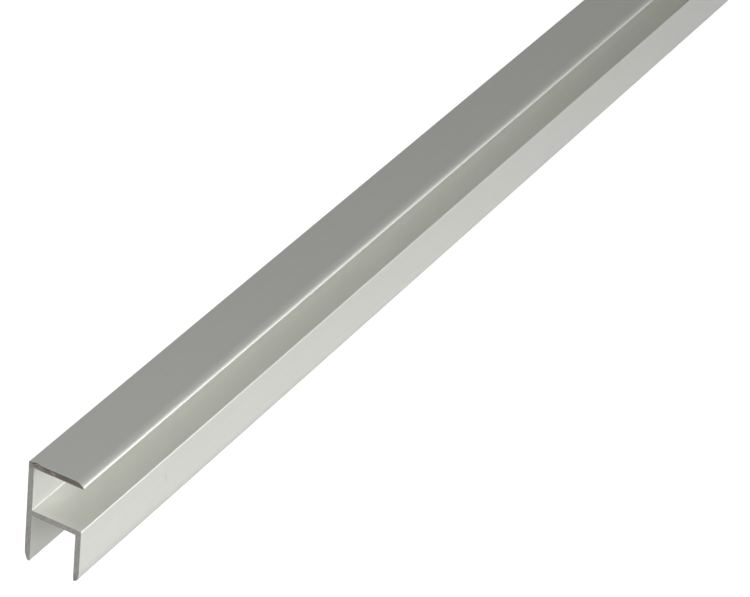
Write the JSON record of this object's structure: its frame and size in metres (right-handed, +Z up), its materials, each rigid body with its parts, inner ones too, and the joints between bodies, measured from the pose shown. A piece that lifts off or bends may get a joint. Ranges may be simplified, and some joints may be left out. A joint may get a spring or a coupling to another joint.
{
  "type": "aluminium edge profile",
  "caption": "Straight aluminium extrusion with two channels at right angles, one opening sideways and one downwards, for joining and edging boards.",
  "frame": {"origin": "on the floor, under the centre of the stock's box", "axes": "+Y along the stock with the pictured end at -Y, +X from the web towards the flange's free edge, +Z up from the legs to the flange"},
  "size_m": [0.02, 1, 0.0375],
  "materials": {
    "anodised_aluminium": "silver anodised, satin, with fine lines along the stock; sawn ends are bare metal"
  },
  "bodies": {
    "root": {"profile": "anodised_aluminium"}
  },
  "joints": []
}
